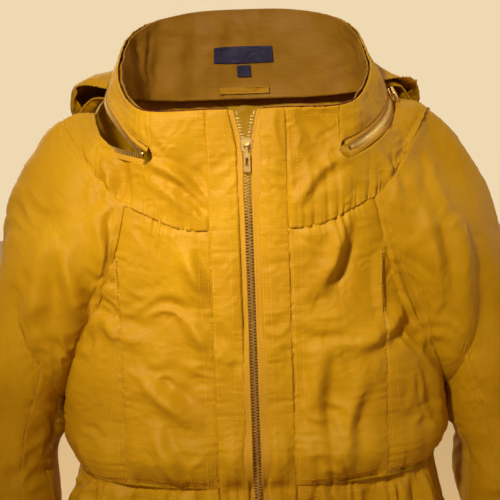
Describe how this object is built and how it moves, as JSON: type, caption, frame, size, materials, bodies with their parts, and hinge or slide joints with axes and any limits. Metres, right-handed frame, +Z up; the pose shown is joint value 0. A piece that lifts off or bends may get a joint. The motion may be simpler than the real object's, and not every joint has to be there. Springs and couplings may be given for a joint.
{
  "type": "hooded anorak",
  "caption": "Hooded cotton anorak hanging ready to wear: funnel collar with zip-away hood, front zip, round gathered yoke, raglan sleeves and elastic waist.",
  "frame": {"origin": "hanging point: midway between the neck-shoulder points, level with the collar front's top edge", "axes": "+Z up, front faces -Y, +X is the wearer's left"},
  "size_m": [0.686, 0.3099, 0.7281],
  "materials": {
    "shell_cloth": "washed cotton twill",
    "facing_cloth": "washed cotton twill",
    "zip_tape": "woven tape",
    "zip_metal": "polished",
    "elastic": "woven elastic",
    "label_cloth": "woven satin"
  },
  "bodies": {
    "coat": {"placket_left": "shell_cloth", "front_panel_left": "shell_cloth", "front_side_panel_left": "shell_cloth", "back_side_panel_left": "shell_cloth", "skirt_front_left": "shell_cloth", "placket_right": "shell_cloth", "front_panel_right": "shell_cloth", "front_side_panel_right": "shell_cloth", "back_side_panel_right": "shell_cloth", "skirt_front_right": "shell_cloth", "back_panel": "shell_cloth", "skirt_back": "shell_cloth", "waist_elastic": "elastic", "waist_casing": "facing_cloth", "yoke_front_left": "shell_cloth", "yoke_front_right": "shell_cloth", "yoke_back": "shell_cloth", "collar_back": "shell_cloth", "collar_facing": "facing_cloth", "neck_label": "label_cloth", "size_label": "label_cloth", "hanger_loop": "zip_tape", "sleeve_head_left": "shell_cloth", "sleeve_head_right": "shell_cloth", "front_zip_tape_left": "zip_tape", "front_zip_teeth_left": "zip_metal", "front_zip_top_stop_left": "zip_metal", "front_zip_tape_right": "zip_tape", "front_zip_teeth_right": "zip_metal", "front_zip_top_stop_right": "zip_metal", "front_zip_box": "zip_metal", "front_zip_pin": "zip_metal", "collar_zip_tape_upper": "zip_tape", "collar_zip_teeth_upper": "zip_metal", "collar_zip_tape_lower": "zip_tape", "collar_zip_teeth_lower": "zip_metal", "collar_zip_stop_left": "zip_metal", "collar_zip_stop_right": "zip_metal", "hood_left": "shell_cloth", "hood_centre": "shell_cloth", "hood_right": "shell_cloth", "hood_edge": "shell_cloth", "pocket_bag_left": "facing_cloth", "pocket_welt_left": "shell_cloth", "pocket_bag_right": "facing_cloth", "pocket_welt_right": "shell_cloth"},
    "sleeve_left": {"sleeve_outer_left": "shell_cloth", "sleeve_inner_left": "shell_cloth", "cuff_left": "shell_cloth"},
    "sleeve_right": {"sleeve_outer_right": "shell_cloth", "sleeve_inner_right": "shell_cloth", "cuff_right": "shell_cloth"},
    "front_slider": {"front_zip_slider": "zip_metal"},
    "front_pull": {"front_zip_pull": "zip_metal"},
    "collar_slider": {"collar_zip_slider": "zip_metal"},
    "collar_pull": {"collar_zip_pull": "zip_metal"}
  },
  "joints": [
    {"name": "front_zip_slide", "type": "slide", "parent": "coat", "child": "front_slider", "axis": [0, 0.0444, 0.999], "range_m": [-0.568, 0.02], "deforming": ["front_zip_teeth_left", "front_zip_teeth_right", "front_zip_tape_left", "front_zip_tape_right"]},
    {"name": "front_pull_swing", "type": "hinge", "parent": "front_slider", "child": "front_pull", "pos_m": [0, -0.10506, -0.03281], "axis": [-1, 0, 0], "range_deg": [0, 170]},
    {"name": "collar_zip_slide", "type": "hinge", "parent": "coat", "child": "collar_slider", "pos_m": [0.01325, 0.00992, -0.00761], "axis": [-0.0966, -0.3761, 0.9215], "range_deg": [-44, 4], "deforming": ["collar_zip_teeth_upper", "collar_zip_teeth_lower", "collar_zip_tape_upper", "collar_zip_tape_lower"]},
    {"name": "collar_pull_swing", "type": "hinge", "parent": "collar_slider", "child": "collar_pull", "pos_m": [0.1501, 0.00328, 0.00568], "axis": [-0.5082, -0.3223, 0.7987], "range_deg": [0, 90]},
    {"name": "sleeve_left_swing", "type": "hinge", "parent": "coat", "child": "sleeve_left", "pos_m": [0.249, 0, -0.118], "axis": [0, -1, 0], "range_deg": [0, 50]},
    {"name": "sleeve_right_swing", "type": "hinge", "parent": "coat", "child": "sleeve_right", "pos_m": [-0.249, 0, -0.118], "axis": [0, 1, 0], "range_deg": [0, 50]}
  ]
}
